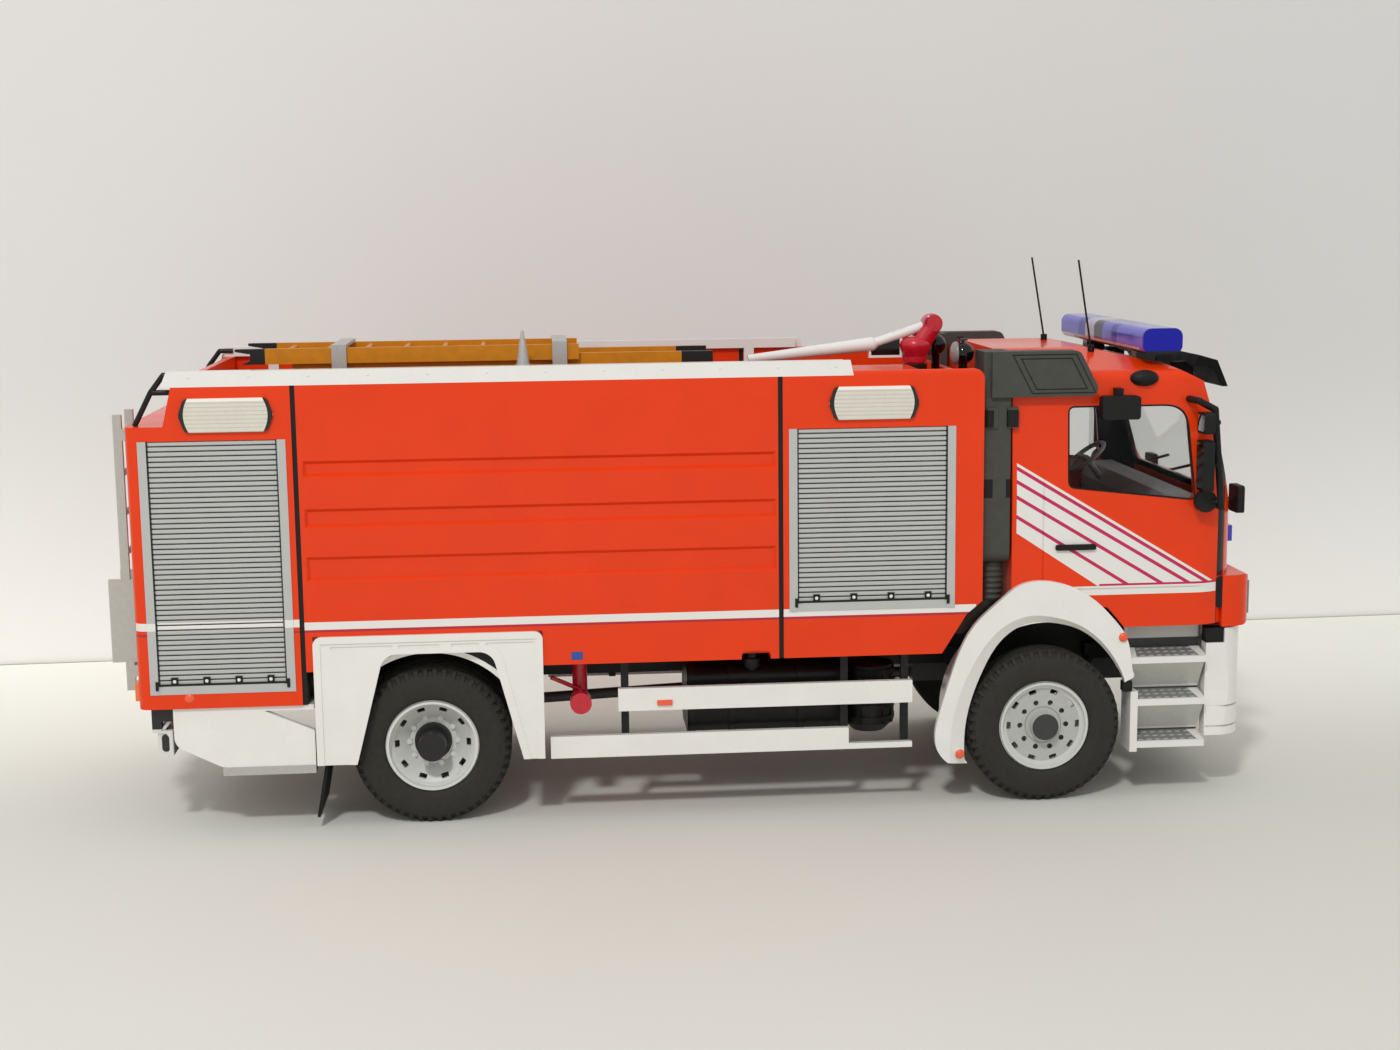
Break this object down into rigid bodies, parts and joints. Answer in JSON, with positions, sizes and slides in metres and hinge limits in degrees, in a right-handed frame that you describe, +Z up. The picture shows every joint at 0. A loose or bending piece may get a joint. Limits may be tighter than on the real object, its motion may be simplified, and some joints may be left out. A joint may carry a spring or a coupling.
{
  "type": "1:43 scale model of a two-axle fire tender",
  "caption": "Display model of a fire tender with a day cab, a tank body between shuttered lockers, rolling wheels and a roof water cannon that turns and tilts.",
  "frame": {"origin": "on the floor under the middle of the model's overall length and width", "axes": "+X to the front of the vehicle, +Y to its left side, +Z up"},
  "size_m": [0.1812, 0.0648, 0.0863],
  "materials": {
    "body_red": "gloss fluorescent red-orange paint",
    "white_paint": "gloss white paint",
    "chassis_black": "semi-gloss black paint",
    "chassis_grey": "dull grey paint",
    "pipe_crimson": "gloss crimson paint",
    "flap_rubber": "thin black rubber",
    "silver_paint": "satin silver paint",
    "bare_aluminium": "satin aluminium",
    "tail_lamp_red": "clear red lens",
    "shutter_silver": "satin silver-grey slats",
    "lamp_white": "cream white lamp front",
    "ladder_ochre": "satin ochre paint",
    "gloss_black": "polished black plastic",
    "clear_glazing": "clear vacuum-formed glazing",
    "interior_black": "matt black plastic",
    "seat_black": "matt black plastic seats",
    "dash_grey": "matt grey plastic",
    "lamp_clear": "clear lens over silver",
    "fairing_grey": "matt dark grey plastic",
    "beacon_blue": "translucent blue lens",
    "antenna_black": "blackened wire",
    "tyre_rubber": "matt black rubber",
    "rim_silver": "satin silver paint"
  },
  "bodies": {
    "vehicle": {"chassis_frame": "chassis_black", "engine_and_gearbox": "chassis_grey", "front_axle": "chassis_black", "rear_axle": "chassis_black", "fuel_tank": "chassis_black", "silencer": "chassis_black", "air_tanks": "chassis_black", "hose_outlets": "pipe_crimson", "side_guard_rails": "white_paint", "side_guard_posts": "chassis_black", "rear_mudguards": "white_paint", "mud_flaps": "flap_rubber", "rear_underpanels": "white_paint", "rear_steps": "silver_paint", "rear_bumper": "chassis_black", "rear_ladder": "bare_aluminium", "grab_rails": "chassis_black", "tail_lamps": "tail_lamp_red", "rear_locker": "body_red", "tank_body": "body_red", "front_locker": "body_red", "body_seams": "chassis_black", "shutters": "shutter_silver", "scene_lamps": "lamp_white", "roof_rails": "white_paint", "roof_ladder": "ladder_ochre", "ladder_fittings": "silver_paint", "cannon_pedestal": "chassis_black", "searchlights": "gloss_black", "roof_standpipe": "silver_paint", "cab_shell": "body_red", "cab_glazing": "clear_glazing", "cab_floor": "interior_black", "cab_seats": "seat_black", "dashboard": "dash_grey", "front_grille": "interior_black", "bumper_upper": "body_red", "bumper_lower": "white_paint", "front_lamps": "lamp_clear", "cab_steps": "white_paint", "step_treads": "silver_paint", "front_mudguards": "white_paint", "side_fairings": "fairing_grey", "light_bar": "beacon_blue", "antennas": "antenna_black", "sun_visor": "gloss_black", "mirrors": "interior_black", "shutter_fittings": "chassis_black", "cab_fittings": "interior_black"},
    "wheel_front_left": {"tyre_front_left": "tyre_rubber", "rim_front_left": "rim_silver"},
    "wheel_front_right": {"tyre_front_right": "tyre_rubber", "rim_front_right": "rim_silver"},
    "wheel_rear_left": {"tyre_rear_left": "tyre_rubber", "rim_rear_left": "rim_silver"},
    "wheel_rear_right": {"tyre_rear_right": "tyre_rubber", "rim_rear_right": "rim_silver"},
    "cannon_turning": {"cannon_elbow": "pipe_crimson"},
    "cannon_tilting": {"cannon_barrel": "white_paint", "cannon_controls": "gloss_black"}
  },
  "joints": [
    {"name": "front_left_wheel_spin", "type": "hinge", "parent": "vehicle", "child": "wheel_front_left", "pos_m": [0.056, 0.025, 0.0124], "axis": [0, 1, 0], "continuous": true},
    {"name": "front_right_wheel_spin", "type": "hinge", "parent": "vehicle", "child": "wheel_front_right", "pos_m": [0.056, -0.025, 0.0124], "axis": [0, 1, 0], "continuous": true},
    {"name": "rear_left_wheel_spin", "type": "hinge", "parent": "vehicle", "child": "wheel_rear_left", "pos_m": [-0.0416, 0.025, 0.0124], "axis": [0, 1, 0], "continuous": true},
    {"name": "rear_right_wheel_spin", "type": "hinge", "parent": "vehicle", "child": "wheel_rear_right", "pos_m": [-0.0416, -0.025, 0.0124], "axis": [0, 1, 0], "continuous": true},
    {"name": "cannon_pan", "type": "hinge", "parent": "vehicle", "child": "cannon_turning", "pos_m": [0.0389, -0.005, 0.0696], "axis": [0, 0, 1], "range_deg": [-70, 45]},
    {"name": "cannon_tilt", "type": "hinge", "parent": "cannon_turning", "child": "cannon_tilting", "pos_m": [0.0419, -0.005, 0.076], "axis": [0, 1, 0], "range_deg": [0, 70]}
  ]
}
